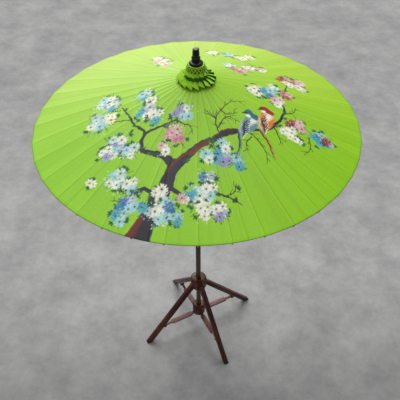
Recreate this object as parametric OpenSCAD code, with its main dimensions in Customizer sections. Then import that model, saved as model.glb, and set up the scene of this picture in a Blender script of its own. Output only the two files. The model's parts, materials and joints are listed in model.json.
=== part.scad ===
// Free-standing oiled-paper parasol on a folding four-leg wooden stand.
// Millimetres, +Z up, origin on the axis at the floor. The parasol is open and the stand is spread.

/* [Canopy] */
// Radius of the open canopy at its rim
rim_radius = 500; // [400:1:600]
// Height of the rim above the floor
rim_height = 1032; // [900:1:1200]
// Rise of the cone from the rim to its apex
canopy_rise = 180; // [120:1:220]
// Thickness of the oiled paper
paper_thickness = 0.6; // [0.3:0.1:1.2]
// Radius of the hole in the paper round the head
paper_hole_radius = 38; // [34:1:50]
// Number of sectors that the canopy folds in
sector_count = 12; // [12:1:12]
// Number of ribs in a sector
ribs_per_sector = 3; // [3:1:3]

/* [Ribs and struts] */
// Radius of the circle that ribs and struts hinge on
hinge_radius = 26; // [22:1:32]
// Depth of a rib, square to the paper
rib_depth = 7; // [5:0.5:9]
// Thickness of a rib along its free length
rib_width = 3.8; // [3:0.1:5]
// Thickness of a rib or strut inside the head and runner
neck_width = 2.0; // [1.6:0.1:2.4]
// Distance from the head hinge to the strut joint, and length of a strut
strut_length = 250; // [200:1:280]
// Depth of a strut
strut_depth = 6; // [4:0.5:8]
// Thickness of a strut along its free length
strut_width = 3.0; // [2.4:0.1:4]
// Thickness of the strut's tongue inside the rib
tongue_width = 1.4; // [1.2:0.1:1.8]
// Diameter of the joint thread and the joint pins
thread_diameter = 1.2; // [1:0.1:1.6]

/* [Pole, head and runner] */
// Diameter of the pole
pole_diameter = 19.6; // [16:0.1:24]
// Height of the pole's lower end
pole_bottom = 72; // [66:1:76]
// Diameter of the head and the runner
head_diameter = 64; // [56:1:72]
// Height of the slotted part of the head and the runner
head_height = 24; // [18:1:30]
// Height of the head's shoulder, where the finial sits
shoulder_height = 1246; // [1240:1:1250]
// Height of the finial's tip
tip_height = 1296; // [1270:1:1310]
// Pleats in the wide ruffle
ruffle_pleats = 18; // [16:1:22]

/* [Stand] */
// Diameter of the upper collar
upper_collar_diameter = 62; // [54:1:70]
// Height of the upper collar's underside
upper_collar_bottom = 238; // [230:1:242]
// Height of the upper collar's top
upper_collar_top = 288; // [280:1:300]
// Diameter of the lower collar
lower_collar_diameter = 50; // [50:1:60]
// Height of the lower collar's underside
lower_collar_bottom = 64; // [60:1:66]
// Height of the lower collar's top
lower_collar_top = 118; // [110:1:126]
// Distance of a leg's hinge from the axis
leg_hinge_radius = 24; // [22:1:26]
// Height of a leg's hinge
leg_hinge_height = 251; // [248:1:256]
// Distance of a foot's middle from the axis
foot_radius = 230; // [200:1:260]
// Side of a leg's square section
leg_side = 17; // [17:1:20]
// Azimuth of the first leg
first_leg_azimuth = -153; // [-180:1:180]
// Distance down a leg to its brace
brace_station = 226; // [220:1:240]
// Distance of a brace's inner hinge from the axis
brace_hinge_radius = 19; // [18:1:20]
// Height of a brace's inner hinge
brace_hinge_height = 69; // [68:1:72]
// Width of a brace
brace_width = 20; // [14:1:22]
// Thickness of a brace
brace_thickness = 6; // [5:0.5:8]

/* [Hidden] */
// Radial clearance of a part that slides or turns
running = 0.08;
// Clearance between parts that only pass each other
gap = 0.3;
// Slope of the canopy and of its ribs below the horizontal
slope = atan(canopy_rise / rim_radius);
// Height of the paper's middle over the head hinge circle
paper_at_hinge = rim_height + canopy_rise * (1 - hinge_radius / rim_radius);
// Height of the rib hinges, so that the ribs' backs carry the paper
rib_hinge_height = paper_at_hinge - (rib_depth + paper_thickness) / 2 / cos(slope);
// Height of the strut hinges on the runner
strut_hinge_height = rib_hinge_height - 2 * strut_length * sin(slope);
// Length of a rib from its hinge to the rim
rib_length = (rim_radius - 1 - hinge_radius) / cos(slope);
// Angle between neighbouring ribs
rib_pitch = 360 / (sector_count * ribs_per_sector);
// Width of the slots for ribs and struts in the head and runner
comb_slot = neck_width + 2 * gap;
// Inner wall of those slots
comb_slot_radius = 19.5;
// Radius of the head's shoulder under the finial
shoulder_radius = 23.5;
// Lean of a spread leg from the vertical
leg_lean = atan((foot_radius - leg_hinge_radius) / leg_hinge_height);
// Lean of a folded leg from the vertical
folded_lean = 14;
// Distance of the brace pin from the middle of its leg
brace_pin_offset = leg_side / 2 + 6;
// Places of a leg's hinge and of a brace's inner hinge: from the axis, and above the floor
leg_hinge = [leg_hinge_radius, leg_hinge_height];
brace_hinge = [brace_hinge_radius, brace_hinge_height];
// Where the brace pin of a leg with a given lean is
function brace_end(lean) = leg_hinge
    + brace_station * [sin(lean), -cos(lean)]
    - brace_pin_offset * [cos(lean), sin(lean)];
// Length of a brace between its pins, and its slope below the horizontal
brace_reach = brace_end(leg_lean) - brace_hinge;
brace_length = norm(brace_reach);
brace_slope = -asin(brace_reach[1] / brace_length);
// What the fold does to a brace: its end slope and the rise of the lower collar
folded_slope = acos((brace_end(folded_lean)[0] - brace_hinge_radius) / brace_length);
collar_travel = brace_end(folded_lean)[1] + brace_length * sin(folded_slope) - brace_hinge_height;
// Where a brace's outer pin is when the fold is halfway and all turn evenly, and the same in its leg's frame
half_lean = (leg_lean + folded_lean) / 2;
half_slope = (brace_slope + folded_slope) / 2;
half_end = brace_hinge + [0, collar_travel / 2] + brace_length * [cos(half_slope), -sin(half_slope)];
half_across = (half_end - leg_hinge) * [cos(half_lean), sin(half_lean)] + brace_pin_offset;
half_down = (half_end - leg_hinge) * [sin(half_lean), -cos(half_lean)] - brace_station;
// Length of the track that this pin needs in the leg, and the track's angle
track_length = norm([half_across, half_down]);
track_angle = atan2(half_down, half_across);
// Width of the brace's inner tongue, in the lower collar
brace_tongue = 12;
// Width and length of the brace's outer tongue, which turns in the leg's mortise
outer_tongue = 9;
outer_tongue_length = 33;
// Length of the brace's outer pin, whose ends run in blind tracks in the mortise's cheeks
outer_pin_length = 13;
// Diameter of the rounded knuckle on a leg that holds the brace's pin
knuckle = 11;
// Diameters of the stand's pins
leg_pin = 5;
brace_pin = 4;
// Lengths of the pins inside the collars
leg_pin_length = 31;
brace_pin_length = 28;
// Height of the dark pad under each foot
pad_height = 5;
// Number of legs
leg_count = 4;

SECTORS = [for (k = [0 : sector_count - 1]) k];
LEGS = [for (k = [0 : leg_count - 1]) k];

$fn = 48;

// A cylinder across the current frame, along Y and centred on the origin
module cross_pin(diameter, length) {
    rotate([90, 0, 0])
        cylinder(d = diameter, h = length, center = true);
}

// A box centred on Y, from x0 to x1 and from z0 to z1
module slab(x0, x1, width, z0, z1) {
    translate([x0, -width / 2, z0])
        cube([x1 - x0, width, z1 - z0]);
}

function leg_azimuth(k) = first_leg_azimuth + k * 360 / leg_count;
function sector_azimuth(k) = k * 360 / sector_count;

// ---- stand ----

module stand_upper_collar() {
    r = upper_collar_diameter / 2;
    groove_pitch = 14;
    groove_radius = 2.5;
    color("saddlebrown")
    difference() {
        rotate_extrude()
            polygon([
                [pole_diameter / 2 + running, upper_collar_bottom],
                [r - 3, upper_collar_bottom],
                [r, upper_collar_bottom + 3],
                [r, upper_collar_top - 6],
                [r - 2, upper_collar_top - 2],
                [r - 6, upper_collar_top],
                [pole_diameter / 2 + running, upper_collar_top]
            ]);
        for (i = [0 : 2])
            translate([0, 0, upper_collar_top - 11 - i * groove_pitch])
                rotate_extrude()
                    translate([r + 1, 0])
                        circle(r = groove_radius, $fn = 24);
        for (k = LEGS)
            rotate([0, 0, leg_azimuth(k)]) {
                slab(leg_hinge_radius - leg_side / 2 - 0.4, r + 5, leg_side + 2 * gap,
                     upper_collar_bottom - 1, leg_hinge_height + leg_side / 2 + 0.5);
                translate([leg_hinge_radius, 0, leg_hinge_height])
                    cross_pin(leg_pin, leg_pin_length);
            }
    }
}

module stand_upper_pins() {
    color("dimgray")
    for (k = LEGS)
        rotate([0, 0, leg_azimuth(k)])
            translate([leg_hinge_radius, 0, leg_hinge_height])
                cross_pin(leg_pin, leg_pin_length);
}

module stand_lower_collar() {
    r = lower_collar_diameter / 2;
    bore = pole_diameter / 2 + running;
    color("saddlebrown")
    difference() {
        rotate_extrude()
            polygon([
                [0, lower_collar_bottom],
                [r - 3, lower_collar_bottom],
                [r, lower_collar_bottom + 3],
                [r, lower_collar_top - 5],
                [r - 4, lower_collar_top],
                [bore, lower_collar_top],
                [bore, pole_bottom],
                [0, pole_bottom]
            ]);
        for (k = LEGS)
            rotate([0, 0, leg_azimuth(k)]) {
                slab(brace_hinge_radius - brace_thickness / 2 - 2, r + 5, brace_tongue + 2 * gap,
                     lower_collar_bottom - 1, brace_hinge_height + brace_thickness / 2 + 1.5);
                translate([brace_hinge_radius, 0, brace_hinge_height])
                    cross_pin(brace_pin, brace_pin_length);
            }
    }
}

module stand_lower_pins() {
    color("dimgray")
    for (k = LEGS)
        rotate([0, 0, leg_azimuth(k)])
            translate([brace_hinge_radius, 0, brace_hinge_height])
                cross_pin(brace_pin, brace_pin_length);
}

// The frame of a spread leg: its hinge at the origin and the leg down -Z
module at_leg(k) {
    rotate([0, 0, leg_azimuth(k)])
        translate([leg_hinge_radius, 0, leg_hinge_height])
            rotate([0, -leg_lean, 0])
                children();
}

// The mortise in a leg's inner side, with the blind tracks for the brace's pin in its cheeks
module brace_mortise() {
    track_play = 0.8;
    track_width = brace_pin + track_play;
    pin_room = outer_pin_length + 2 * gap;
    floor_depth = 1.5;
    upper_end = 14;
    lower_end = 24;
    slab(-brace_pin_offset - knuckle, floor_depth, outer_tongue + 2 * gap,
         -brace_station - lower_end, -brace_station + upper_end);
    translate([-brace_pin_offset, 0, -brace_station])
        rotate([0, track_angle, 0]) {
            cross_pin(track_width, pin_room);
            slab(0, track_length, pin_room, -track_width / 2, track_width / 2);
            translate([track_length, 0, 0])
                cross_pin(track_width, pin_room);
        }
}

// A leg's square bar, longer than needed; the floor cuts its foot
module leg_bar(k) {
    half = leg_side / 2;
    at_leg(k)
        difference() {
            union() {
                cross_pin(leg_side, leg_side);
                slab(-half, half, leg_side, -380, 0);
                slab(-brace_pin_offset, -half, leg_side,
                     -brace_station - knuckle / 2, -brace_station + knuckle / 2);
                translate([-brace_pin_offset, 0, -brace_station])
                    cross_pin(knuckle, leg_side);
            }
            cross_pin(leg_pin + 2 * running, leg_side + 2);
            brace_mortise();
        }
}

module floor_slab(z0, z1) {
    translate([-400, -400, z0])
        cube([800, 800, z1 - z0]);
}

module leg(k) {
    color("sienna")
    intersection() {
        leg_bar(k);
        floor_slab(pad_height, leg_hinge_height + leg_side);
    }
    color("black")
    intersection() {
        at_leg(k)
            slab(-leg_side / 2, leg_side / 2, leg_side, -380, -280);
        floor_slab(0, pad_height);
    }
}

// The frame of a brace: its inner hinge at the origin and the brace along +X
module at_brace(k) {
    rotate([0, 0, leg_azimuth(k)])
        translate([brace_hinge_radius, 0, brace_hinge_height])
            rotate([0, brace_slope, 0])
                children();
}

module brace(k) {
    half = brace_thickness / 2;
    shoulder = 15;
    color("peru")
    at_brace(k)
        difference() {
            union() {
                cross_pin(brace_thickness, brace_tongue);
                slab(0, shoulder, brace_tongue, -half, half);
                slab(shoulder, brace_length - outer_tongue_length, brace_width, -half, half);
                slab(brace_length - outer_tongue_length, brace_length, outer_tongue, -half, half);
                translate([brace_length, 0, 0])
                    cross_pin(brace_thickness, outer_tongue);
            }
            cross_pin(brace_pin + 2 * running, brace_width + 2);
            translate([brace_length, 0, 0])
                cross_pin(brace_pin, brace_width + 2);
        }
    color("dimgray")
    at_brace(k)
        translate([brace_length, 0, 0])
            cross_pin(brace_pin, outer_pin_length);
}

// ---- pole, head and runner ----

module pole() {
    tenon = 12;
    color("olive") {
        translate([0, 0, pole_bottom])
            cylinder(d = pole_diameter, h = shoulder_height - 6 - pole_bottom);
        translate([0, 0, shoulder_height - 6])
            cylinder(d = tenon, h = 24);
    }
}

// The slots that the ribs or struts hinge in, and the groove for the thread
module comb_cut(hinge_height, z0, z1) {
    for (i = [0 : 360 / rib_pitch - 1])
        rotate([0, 0, i * rib_pitch])
            slab(comb_slot_radius, head_diameter, comb_slot, z0, z1);
    translate([0, 0, hinge_height])
        rotate_extrude()
            translate([hinge_radius, 0])
                circle(d = thread_diameter + 2 * running, $fn = 24);
}

module thread_ring(hinge_height) {
    color("gold")
    translate([0, 0, hinge_height])
        rotate_extrude()
            translate([hinge_radius, 0])
                circle(d = thread_diameter, $fn = 24);
}

module head_notch() {
    r = head_diameter / 2;
    bottom = rib_hinge_height - head_height / 2;
    disc_top = rib_hinge_height + head_height / 2;
    color("tan")
    difference() {
        rotate_extrude()
            polygon([
                [pole_diameter / 2, bottom],
                [r, bottom],
                [r, disc_top],
                [shoulder_radius, shoulder_height],
                [6, shoulder_height],
                [6, shoulder_height - 6],
                [pole_diameter / 2, shoulder_height - 6]
            ]);
        comb_cut(rib_hinge_height, bottom - 1, rib_hinge_height + rib_depth / 2 + 1);
    }
}

module runner() {
    r = head_diameter / 2;
    bore = pole_diameter / 2 + running;
    sleeve = 17;
    bottom = strut_hinge_height - head_height / 2;
    disc_top = strut_hinge_height + head_height / 2;
    color("tan")
    difference() {
        rotate_extrude()
            polygon([
                [bore, bottom - 38],
                [sleeve - 2, bottom - 38],
                [sleeve, bottom - 36],
                [sleeve, bottom - 3],
                [sleeve + 2, bottom],
                [r, bottom],
                [r, disc_top],
                [bore, disc_top]
            ]);
        comb_cut(strut_hinge_height, bottom - 1, disc_top + 1);
    }
}

module finial() {
    tip = tip_height;
    foot = shoulder_height;
    color("black")
    rotate_extrude()
        polygon([
            [6, foot], [19, foot], [20, foot + 1.5], [20, foot + 5], [18.5, foot + 7.5],
            [13, foot + 9.5], [11.4, foot + 11.5], [11.8, foot + 13.5], [10.4, foot + 15],
            [10.6, foot + 16.5], [12.8, foot + 18.5], [12.8, foot + 21.5], [10.8, foot + 24],
            [10, foot + 27], [9.9, foot + 31], [9.2, tip - 3], [8, tip - 1], [5.5, tip], [0, tip],
            [0, foot + 18], [6, foot + 18]
        ]);
}

module neck_wrap() {
    cloth = 0.9;
    disc_top = rib_hinge_height + head_height / 2;
    r = head_diameter / 2;
    color("green")
    rotate_extrude()
        polygon([
            [r, disc_top - 4],
            [r, disc_top],
            [shoulder_radius, shoulder_height],
            [shoulder_radius + cloth, shoulder_height],
            [r + cloth, disc_top],
            [r + cloth, disc_top - 4]
        ]);
}

// A cone of cloth from the neck to the hem, with a standing fold at each pleat that begins below the neck
module ruffle(neck_r, neck_z, hem_r, hem_z, pleats, cloth, fold, fold_start) {
    tilt = atan((neck_z - hem_z) / (hem_r - neck_r));
    run = norm([hem_r - neck_r, neck_z - hem_z]);
    rotate_extrude()
        polygon([[neck_r, neck_z], [hem_r, hem_z], [hem_r, hem_z + cloth], [neck_r, neck_z + cloth]]);
    for (i = [0 : pleats - 1])
        rotate([0, 0, i * 360 / pleats])
            translate([neck_r, 0, neck_z])
                rotate([0, tilt, 0])
                    slab(fold_start, run - 0.5, 1.6, 0.2, fold);
}

module ruffle_upper() {
    color("limegreen")
        ruffle(28.9, 1228.5, 35.4, 1219.5, ruffle_pleats - 2, 1.6, 3, 1);
}

module ruffle_lower() {
    color("limegreen")
        ruffle(33.8, 1205.2, 57.5, 1194, ruffle_pleats, 1.2, 5, 4.5);
}

// ---- canopy sectors ----

// One rib at azimuth 0, with its eye, the slit for its strut and the strut's pin
module rib_bar() {
    half = rib_depth / 2;
    neck_end = 90;
    slit = tongue_width + 2 * gap;
    translate([hinge_radius, 0, rib_hinge_height])
        rotate([0, slope, 0]) {
            difference() {
                union() {
                    cross_pin(rib_depth, neck_width);
                    slab(0, neck_end, neck_width, -half, half);
                    slab(neck_end, rib_length, rib_width, -half, half);
                }
                cross_pin(thread_diameter + 2 * running, rib_width + 2);
                slab(strut_length - 12, strut_length + 46, slit, -rib_depth, rib_depth);
            }
            translate([strut_length, 0, 0])
                cross_pin(thread_diameter, rib_width);
        }
}

// One strut at azimuth 0, from the runner up to its rib
module strut_bar() {
    half = strut_depth / 2;
    neck_end = 30;
    tongue_start = strut_length - 55;
    translate([hinge_radius, 0, strut_hinge_height])
        rotate([0, -slope, 0])
            difference() {
                union() {
                    cross_pin(strut_depth, neck_width);
                    slab(0, neck_end, neck_width, -half, half);
                    slab(neck_end, tongue_start, strut_width, -half, half);
                    slab(tongue_start, strut_length, tongue_width, -2.5, 2.5);
                    translate([strut_length, 0, 0])
                        cross_pin(5, tongue_width);
                }
                cross_pin(thread_diameter + 2 * running, strut_width + 2);
                translate([strut_length, 0, 0])
                    cross_pin(thread_diameter + 2 * running, strut_width + 2);
            }
}

module rib(k) {
    color("burlywood")
    rotate([0, 0, sector_azimuth(k)])
        rib_bar();
}

// The paper of one sector, cut short of its neighbours by half the clearance on each side
module paper() {
    half_angle = 180 / sector_count;
    reach = rim_radius * 1.2;
    start = gap / 2 / sin(half_angle);
    rise = paper_thickness / 2 / cos(slope);
    at_hole = rim_height + canopy_rise * (1 - paper_hole_radius / rim_radius);
    intersection() {
        rotate_extrude()
            polygon([
                [paper_hole_radius, at_hole - rise],
                [rim_radius, rim_height - rise],
                [rim_radius, rim_height + rise],
                [paper_hole_radius, at_hole + rise]
            ]);
        translate([0, 0, rim_height - 50])
            linear_extrude(height = canopy_rise + 100)
                polygon([
                    [start, 0],
                    [reach, -(reach - start) * tan(half_angle)],
                    [reach, (reach - start) * tan(half_angle)]
                ]);
    }
}

module canopy_panel(k) {
    rotate([0, 0, sector_azimuth(k)]) {
        color("yellowgreen")
            paper();
        color("burlywood")
        for (side = [-1, 1])
            rotate([0, 0, side * rib_pitch])
                rib_bar();
    }
}

module struts(k) {
    color("burlywood")
    rotate([0, 0, sector_azimuth(k)])
        for (side = [-1, 0, 1])
            rotate([0, 0, side * rib_pitch])
                strut_bar();
}

stand_upper_collar();
stand_upper_pins();
stand_lower_collar();
stand_lower_pins();
pole();
head_notch();
thread_ring(rib_hinge_height);  // head_thread
runner();
thread_ring(strut_hinge_height);  // runner_thread
finial();
neck_wrap();
ruffle_upper();
ruffle_lower();
for (k = LEGS) {
    leg(k);
    brace(k);
}
for (k = SECTORS) {
    rib(k);
    canopy_panel(k);
    struts(k);
}
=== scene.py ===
"""The visual model of a painted oiled-paper parasol on a folding stand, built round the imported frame."""

import json
import math

import bmesh
import bpy
import numpy as np
from mathutils import Matrix, Vector

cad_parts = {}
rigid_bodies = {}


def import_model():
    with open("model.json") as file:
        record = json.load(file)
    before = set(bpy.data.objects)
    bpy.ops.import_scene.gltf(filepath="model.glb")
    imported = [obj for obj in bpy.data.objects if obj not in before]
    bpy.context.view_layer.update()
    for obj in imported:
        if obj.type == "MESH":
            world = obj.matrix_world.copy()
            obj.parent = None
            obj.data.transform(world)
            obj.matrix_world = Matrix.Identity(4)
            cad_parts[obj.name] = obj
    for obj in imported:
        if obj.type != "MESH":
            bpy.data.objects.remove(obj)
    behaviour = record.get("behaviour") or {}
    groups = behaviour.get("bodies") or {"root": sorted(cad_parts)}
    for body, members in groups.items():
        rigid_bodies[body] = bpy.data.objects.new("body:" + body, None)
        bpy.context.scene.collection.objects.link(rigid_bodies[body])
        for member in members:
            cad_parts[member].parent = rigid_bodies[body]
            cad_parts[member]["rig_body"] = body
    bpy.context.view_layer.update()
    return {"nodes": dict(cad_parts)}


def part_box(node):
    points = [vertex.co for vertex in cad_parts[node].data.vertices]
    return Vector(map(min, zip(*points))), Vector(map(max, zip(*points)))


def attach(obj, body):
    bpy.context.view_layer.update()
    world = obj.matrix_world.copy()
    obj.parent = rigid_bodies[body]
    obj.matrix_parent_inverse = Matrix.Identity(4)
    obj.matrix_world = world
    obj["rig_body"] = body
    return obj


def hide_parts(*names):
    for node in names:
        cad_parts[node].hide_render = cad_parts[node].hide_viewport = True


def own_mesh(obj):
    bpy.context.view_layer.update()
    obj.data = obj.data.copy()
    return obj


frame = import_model()
random = np.random.default_rng(7)

# ---- sizes in metres, the same as the CAD's ----
RIM_R = 0.500
RIM_Z = 1.032
RISE = 0.180
HOLE_R = 0.038
HINGE_R = 0.026
STRUT_LENGTH = 0.250
RIB_DEPTH = 0.007
PAPER = 0.0006
SECTORS = 12
RIBS = 36
RIB_PITCH = 2 * math.pi / RIBS
SLOPE = math.atan(RISE / RIM_R)
LEG_AZIMUTHS = [math.radians(-153 + 90 * k) for k in range(4)]
LEG_HINGE_R, LEG_HINGE_Z = 0.024, 0.251
LEG_FOOT_R = 0.230
# How far up a leg its dark rubber end reaches
FOOT_CAP = 0.016
BRACE_HINGE_R, BRACE_HINGE_Z = 0.019, 0.069
BRACE_TILT = math.radians(90.8)
# A brace's length between its pins
BRACE_LENGTH = 0.1372


def middle_height(node):
    low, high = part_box(node)
    return (low.z + high.z) / 2


RIB_HINGE_Z = middle_height("head_thread")
STRUT_HINGE_Z = middle_height("runner_thread")


# ---- colour ----
def linear(r, g, b):
    """A colour given as 0 to 255 display values, as linear light."""
    c = np.array([r, g, b], float) / 255
    return np.where(c <= 0.04045, c / 12.92, ((c + 0.055) / 1.055) ** 2.4)


def rgba(r, g, b):
    return (*[float(v) for v in linear(r, g, b)], 1.0)


# ---- materials ----
class Nodes:
    """A material's node tree with short ways to add and join nodes."""

    def __init__(self, name, roughness=0.5, **sockets):
        self.material = bpy.data.materials.new(name)
        self.material.use_nodes = True
        self.tree = self.material.node_tree
        self.shader = self.tree.nodes["Principled BSDF"]
        self.shader.inputs["Roughness"].default_value = roughness
        for socket, value in sockets.items():
            self.shader.inputs[socket.replace("_", " ")].default_value = value

    def add(self, kind, **settings):
        node = self.tree.nodes.new(kind)
        for key, value in settings.items():
            if key in node.inputs:
                node.inputs[key].default_value = value
            else:
                setattr(node, key, value)
        return node

    def join(self, source, target):
        self.tree.links.new(source, target)

    def local(self, scale=(1, 1, 1)):
        """The piece's own coordinates, stretched."""
        place = self.add("ShaderNodeTexCoord")
        stretch = self.add("ShaderNodeMapping")
        stretch.inputs["Scale"].default_value = scale
        self.join(place.outputs["Object"], stretch.inputs["Vector"])
        return stretch.outputs["Vector"]

    def noise(self, vector, scale, detail=4.0, rough=0.55):
        node = self.add("ShaderNodeTexNoise")
        node.inputs["Scale"].default_value = scale
        node.inputs["Detail"].default_value = detail
        node.inputs["Roughness"].default_value = rough
        self.join(vector, node.inputs["Vector"])
        return node.outputs["Fac"]

    def ramp(self, factor, stops):
        node = self.add("ShaderNodeValToRGB")
        ramp = node.color_ramp
        while len(ramp.elements) < len(stops):
            ramp.elements.new(0.5)
        for element, (at, colour) in zip(ramp.elements, stops, strict=True):
            element.position = at
            element.color = colour
        self.join(factor, node.inputs["Fac"])
        return node.outputs["Color"]

    def between(self, factor, low, high):
        node = self.add("ShaderNodeMapRange")
        node.inputs["To Min"].default_value = low
        node.inputs["To Max"].default_value = high
        self.join(factor, node.inputs["Value"])
        return node.outputs["Result"]

    def bump(self, height, strength, distance):
        node = self.add("ShaderNodeBump")
        node.inputs["Strength"].default_value = strength
        node.inputs["Distance"].default_value = distance
        self.join(height, node.inputs["Height"])
        self.join(node.outputs["Normal"], self.shader.inputs["Normal"])

    def colour(self, source):
        self.join(source, self.shader.inputs["Base Color"])


def grain(name, stops, roughness, along=(55, 55, 3.2), bump=0.25, **sockets):
    """Wood or bamboo: fibres that run along the piece's own Z."""
    m = Nodes(name, roughness[0], **sockets)
    vector = m.local(along)
    fibres = m.noise(vector, 3.0, 6.0, 0.62)
    m.colour(m.ramp(fibres, stops))
    patches = m.noise(m.local((14, 14, 5)), 2.0, 3.0)
    m.join(m.between(patches, *roughness), m.shader.inputs["Roughness"])
    m.bump(fibres, bump, 0.0004)
    return m.material


def cloth(name, stops, threads=1900, sheen=0.2):
    """Plain cotton: a fine crossed weave with soft sheen."""
    m = Nodes(name, 0.78, Sheen_Weight=sheen, Specular_IOR_Level=0.25)
    vector = m.local()
    tone = m.noise(vector, 60, 3.0)
    m.colour(m.ramp(tone, stops))
    weave = m.noise(m.local((1, 1, 1.6)), threads, 1.0)
    m.bump(weave, 0.35, 0.0003)
    return m.material


def painted_paper():
    """Oiled paper: the painted colour, faint fibres and a patchy gloss."""
    m = Nodes("oiled_paper_paint", 0.5, Specular_IOR_Level=0.28)
    paint = m.add("ShaderNodeVertexColor", layer_name="paint")
    vector = m.local()
    fibre = m.noise(vector, 320, 5.0, 0.7)
    mottle = m.noise(vector, 9, 3.0)
    tint = m.ramp(fibre, [(0.3, rgba(232, 234, 222)), (0.72, (1, 1, 1, 1))])
    mix = m.add("ShaderNodeMix", data_type="RGBA", blend_type="MULTIPLY")
    mix.inputs[0].default_value = 1.0
    m.join(paint.outputs["Color"], mix.inputs[6])
    m.join(tint, mix.inputs[7])
    m.colour(mix.outputs[2])
    m.join(m.between(mottle, 0.42, 0.56), m.shader.inputs["Roughness"])
    m.bump(fibre, 0.22, 0.0003)
    return m.material


def plain(name, colour, roughness, spots=80.0, depth=0.0002, **sockets):
    """A hard finish whose tone and gloss vary a little."""
    m = Nodes(name, roughness, **sockets)
    fine = m.noise(m.local(), spots, 4.0)
    dark = tuple(c * 0.72 for c in colour[:3]) + (1.0,)
    m.colour(m.ramp(fine, [(0.3, dark), (0.7, colour)]))
    m.join(m.between(fine, roughness * 0.75, roughness * 1.3), m.shader.inputs["Roughness"])
    m.bump(fine, 0.2, depth)
    return m.material


VARNISH = grain(
    "varnished_red_wood",
    [(0.28, rgba(16, 5, 3)), (0.5, rgba(66, 22, 11)), (0.74, rgba(150, 72, 38))],
    (0.36, 0.5),
    Specular_IOR_Level=0.3,
    Coat_Weight=0.05,
    Coat_Roughness=0.25,
)
# The brace wood is painted paler and lilac, as a painted reflection of the sky on its varnish.
BRACE_SHEEN_VARNISH = grain(
    "brace_wood_painted_sheen",
    [(0.25, rgba(66, 32, 32)), (0.5, rgba(104, 60, 62)), (0.8, rgba(140, 96, 100))],
    (0.44, 0.56),
    Specular_IOR_Level=0.4,
    Coat_Weight=0.06,
    Coat_Roughness=0.35,
)
LACQUERED_POLE = grain(
    "lacquered_bamboo_pole",
    [(0.2, rgba(34, 24, 12)), (0.5, rgba(62, 47, 24)), (0.8, rgba(94, 76, 40))],
    (0.3, 0.45),
    along=(70, 70, 1.4),
    Coat_Weight=0.2,
    Coat_Roughness=0.25,
)
PALE_WOOD = grain(
    "turned_pale_wood",
    [(0.2, rgba(150, 116, 72)), (0.55, rgba(190, 156, 104)), (0.85, rgba(212, 182, 132))],
    (0.45, 0.6),
)
BAMBOO = grain(
    "split_bamboo",
    [(0.2, rgba(148, 112, 60)), (0.5, rgba(192, 154, 92)), (0.85, rgba(216, 186, 124))],
    (0.4, 0.55),
    along=(4, 190, 190),
)
PAINTED_PAPER = painted_paper()
RUFFLE_CLOTH = cloth("pleated_green_cloth", [(0.3, rgba(130, 194, 18)), (0.7, rgba(166, 224, 46))])
# A deeper green that is painted shade, on the pleats' hidden folds and the neck below the upper ruffle.
SHADE_PAINTED_CLOTH = cloth("painted_shade_green_cloth", [(0.3, rgba(40, 100, 0)), (0.7, rgba(66, 128, 4))], sheen=0.02)
# The neck's cloth is the ruffles' green painted darker, as painted shade.
NECK_SHADED_CLOTH = cloth("neck_cloth_painted_shade", [(0.3, rgba(46, 98, 2)), (0.7, rgba(84, 142, 10))], sheen=0.05)
GOLD_THREAD = plain("gold_thread", rgba(222, 190, 92), 0.55, 900, 0.0001)
LACING_THREAD = plain("yellow_lacing", rgba(196, 236, 66), 0.6, 900, 0.0001)
RED_THREAD = plain("red_thread", rgba(176, 42, 40), 0.6, 900, 0.0001)
GREEN_THREAD = plain("green_thread", rgba(60, 128, 60), 0.6, 900, 0.0001)
BLACK_LACQUER = plain(
    "black_lacquer", rgba(5, 7, 8), 0.3, 40, 0.0001, Specular_IOR_Level=0.35, Coat_Weight=0.05
)
PIN_STEEL = plain("dull_pin_steel", rgba(96, 88, 82), 0.4, 300, 0.00005, Metallic=1.0)
FOOT_RUBBER = plain("black_foot_rubber", rgba(28, 26, 26), 0.7, 500, 0.0001)


# ---- mesh helpers ----
def radial_frame(azimuth, radius, height, tilt):
    """A frame at a radius and height, turned to an azimuth and tilted about its own Y."""
    turn = Matrix.Rotation(azimuth, 4, "Z")
    return turn @ Matrix.Translation((radius, 0, height)) @ Matrix.Rotation(tilt, 4, "Y")


def make(name, points, faces, material, body, smooth=True):
    """A new piece from points and faces, riding on a body."""
    mesh = bpy.data.meshes.new(name)
    mesh.from_pydata([tuple(map(float, p)) for p in points], [], [tuple(map(int, f)) for f in faces])
    mesh.validate()
    piece = bpy.data.objects.new(name, mesh)
    bpy.context.collection.objects.link(piece)
    mesh.materials.append(material)
    mesh.polygons.foreach_set("use_smooth", [smooth] * len(mesh.polygons))
    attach(piece, body)
    return piece


def grid_faces(rows, columns, start=0, wrap=False, flip=False):
    """Quads over a grid of points kept row by row."""
    i, j = np.meshgrid(np.arange(rows - 1), np.arange(columns if wrap else columns - 1), indexing="ij")
    k = (j + 1) % columns
    quad = np.stack([i * columns + j, i * columns + k, (i + 1) * columns + k, (i + 1) * columns + j], -1)
    quad = quad.reshape(-1, 4) + start
    return quad[:, ::-1] if flip else quad


def capped_faces(rows, around):
    """The faces of a tube of rings, closed at both ends."""
    faces = [tuple(f) for f in grid_faces(rows, around, wrap=True)]
    last = (rows - 1) * around
    faces.append(tuple(range(around))[::-1])
    faces.append(tuple(range(last, last + around)))
    return faces


def two_sided(outer, inner):
    """Points and faces of a cloth that goes once round, from its two faces as grids of points."""
    rows, around = outer.shape[:2]
    index = np.arange(around)
    after = (index + 1) % around
    last = (2 * rows - 1) * around
    close = np.stack([index + last, after + last, after, index], -1)
    faces = np.concatenate([grid_faces(2 * rows, around, wrap=True), close])
    return np.concatenate([outer, inner[::-1]]).reshape(-1, 3), faces


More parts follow.
